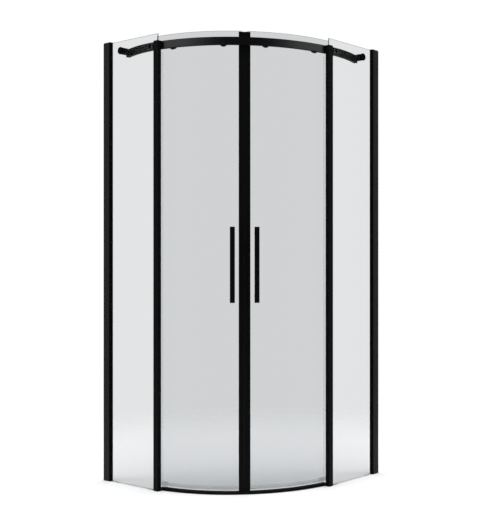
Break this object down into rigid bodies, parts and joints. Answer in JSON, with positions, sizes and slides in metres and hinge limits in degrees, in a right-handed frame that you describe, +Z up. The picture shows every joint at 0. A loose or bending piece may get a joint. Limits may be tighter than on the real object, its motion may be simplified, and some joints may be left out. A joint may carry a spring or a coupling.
{
  "type": "corner shower enclosure",
  "caption": "Quadrant corner shower enclosure: flat fixed glass panes with wall profiles and posts, a curved top rail and sill, and curved glass doors that roll open from the middle.",
  "frame": {"origin": "middle of the enclosure's square footprint, on the floor", "axes": "+Z up; +X runs out from one wall along the left pane, +Y runs back to the other wall along the right pane; the room corner is at -X +Y and the doors open at +X -Y"},
  "size_m": [0.9, 0.9, 2],
  "materials": {
    "black_aluminium": "matt black powder-coated or anodised extrusion",
    "grey_aluminium": "dark grey satin aluminium",
    "clear_glass": "clear toughened glass with polished edges",
    "black_rubber": "matt black EPDM rubber",
    "black_plastic": "matt black moulded nylon",
    "black_magnet_strip": "black magnetic rubber strip",
    "clear_plastic": "clear moulded polycarbonate",
    "clear_seal": "clear flexible PVC",
    "black_steel": "black oxide steel",
    "bright_steel": "stainless steel",
    "roller_nylon": "off-white nylon"
  },
  "bodies": {
    "frame": {"wall_channel_left": "black_aluminium", "wall_channel_right": "black_aluminium", "glass_profile_left": "black_aluminium", "glass_profile_right": "black_aluminium", "glazing_gasket_left": "black_rubber", "glazing_gasket_right": "black_rubber", "profile_caps": "black_plastic", "clamp_screws": "black_steel", "fixed_glass_left": "clear_glass", "fixed_glass_right": "clear_glass", "setting_pads": "clear_plastic", "post_left": "black_aluminium", "post_right": "black_aluminium", "post_caps": "black_plastic", "post_lip_left": "clear_seal", "post_lip_right": "clear_seal", "top_rail": "black_aluminium", "rail_end_caps": "black_plastic", "door_stops": "black_rubber", "rail_brackets": "grey_aluminium", "bracket_pads": "black_rubber", "rail_screws": "black_steel", "standoff_tube_left": "black_aluminium", "standoff_tube_right": "black_aluminium", "standoff_caps": "black_aluminium", "standoff_bolts": "black_steel", "standoff_washers": "black_rubber", "threshold": "black_aluminium", "threshold_end_blocks": "black_plastic", "door_guides": "clear_plastic"},
    "left_door": {"door_glass_left": "clear_glass", "edge_profile_left": "black_aluminium", "magnet_strip_left": "black_magnet_strip", "rear_seal_left": "clear_seal", "drip_seal_left": "clear_seal", "handle_bar_left": "black_aluminium", "handle_posts_left": "black_aluminium", "handle_bolts_left": "black_aluminium", "roller_bodies_left": "black_plastic", "roller_caps_left": "black_plastic", "roller_axles_left": "bright_steel", "guide_shoe_left": "black_plastic"},
    "right_door": {"door_glass_right": "clear_glass", "edge_profile_right": "black_aluminium", "magnet_strip_right": "black_magnet_strip", "rear_seal_right": "clear_seal", "drip_seal_right": "clear_seal", "handle_bar_right": "black_aluminium", "handle_posts_right": "black_aluminium", "handle_bolts_right": "black_aluminium", "roller_bodies_right": "black_plastic", "roller_caps_right": "black_plastic", "roller_axles_right": "bright_steel", "guide_shoe_right": "black_plastic"},
    "left_front_wheel": {"front_wheel_left": "roller_nylon"},
    "left_rear_wheel": {"rear_wheel_left": "roller_nylon"},
    "right_front_wheel": {"front_wheel_right": "roller_nylon"},
    "right_rear_wheel": {"rear_wheel_right": "roller_nylon"}
  },
  "joints": [
    {"name": "left_door_roll", "type": "hinge", "parent": "frame", "child": "left_door", "pos_m": [-0.157, 0.157, 0], "axis": [0, 0, 1], "range_deg": [-25, 0]},
    {"name": "right_door_roll", "type": "hinge", "parent": "frame", "child": "right_door", "pos_m": [-0.157, 0.157, 0], "axis": [0, 0, 1], "range_deg": [0, 25]},
    {"name": "left_front_wheel_spin", "type": "hinge", "parent": "left_door", "child": "left_front_wheel", "pos_m": [0.18171, -0.31264, 1.9437], "axis": [0.585, -0.8111, 0], "continuous": true},
    {"name": "left_rear_wheel_spin", "type": "hinge", "parent": "left_door", "child": "left_rear_wheel", "pos_m": [-0.03859, -0.4098, 1.9437], "axis": [0.2045, -0.9789, 0], "continuous": true},
    {"name": "right_front_wheel_spin", "type": "hinge", "parent": "right_door", "child": "right_front_wheel", "pos_m": [0.31264, -0.18171, 1.9437], "axis": [0.8111, -0.585, 0], "continuous": true},
    {"name": "right_rear_wheel_spin", "type": "hinge", "parent": "right_door", "child": "right_rear_wheel", "pos_m": [0.4098, 0.03859, 1.9437], "axis": [0.9789, -0.2045, 0], "continuous": true}
  ],
  "couplings": [
    {"joint": "left_front_wheel_spin", "follows": "left_door_roll", "ratio": -62.263},
    {"joint": "left_rear_wheel_spin", "follows": "left_door_roll", "ratio": -62.263},
    {"joint": "right_front_wheel_spin", "follows": "right_door_roll", "ratio": -62.263},
    {"joint": "right_rear_wheel_spin", "follows": "right_door_roll", "ratio": -62.263}
  ]
}
